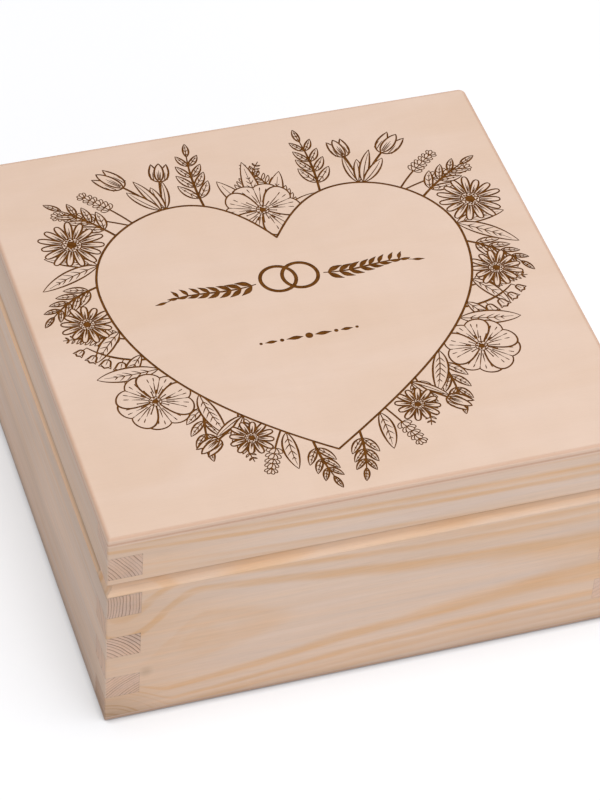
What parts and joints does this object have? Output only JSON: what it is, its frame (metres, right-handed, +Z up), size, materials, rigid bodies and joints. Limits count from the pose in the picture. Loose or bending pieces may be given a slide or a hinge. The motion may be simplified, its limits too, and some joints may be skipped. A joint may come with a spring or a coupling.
{
  "type": "keepsake box",
  "caption": "Square pine keepsake box with comb-jointed corners, a plywood top with a burnt heart and wreath, and a lid hinged at the back.",
  "frame": {"origin": "middle of the underside, which rests on the table", "axes": "+X to the right, +Y to the back where the hinges are, +Z up"},
  "size_m": [0.22, 0.2221, 0.1051],
  "materials": {
    "pine": "bare, sanded",
    "plywood": "bare, sanded birch plywood",
    "brass": "satin"
  },
  "bodies": {
    "box": {"front_board": "pine", "back_board": "pine", "left_board": "pine", "right_board": "pine", "bottom_panel": "plywood", "left_hinge_body_leaf": "brass", "right_hinge_body_leaf": "brass", "left_hinge_pin": "brass", "right_hinge_pin": "brass", "body_hinge_screws": "brass"},
    "lid": {"lid_front_rail": "pine", "lid_back_rail": "pine", "lid_left_rail": "pine", "lid_right_rail": "pine", "lid_top_panel": "plywood", "left_hinge_lid_leaf": "brass", "right_hinge_lid_leaf": "brass", "lid_hinge_screws": "brass"}
  },
  "joints": [
    {"name": "lid_hinge", "type": "hinge", "parent": "box", "child": "lid", "pos_m": [0, 0.1102, 0.07665], "axis": [-1, 0, 0], "range_deg": [0, 180]}
  ]
}
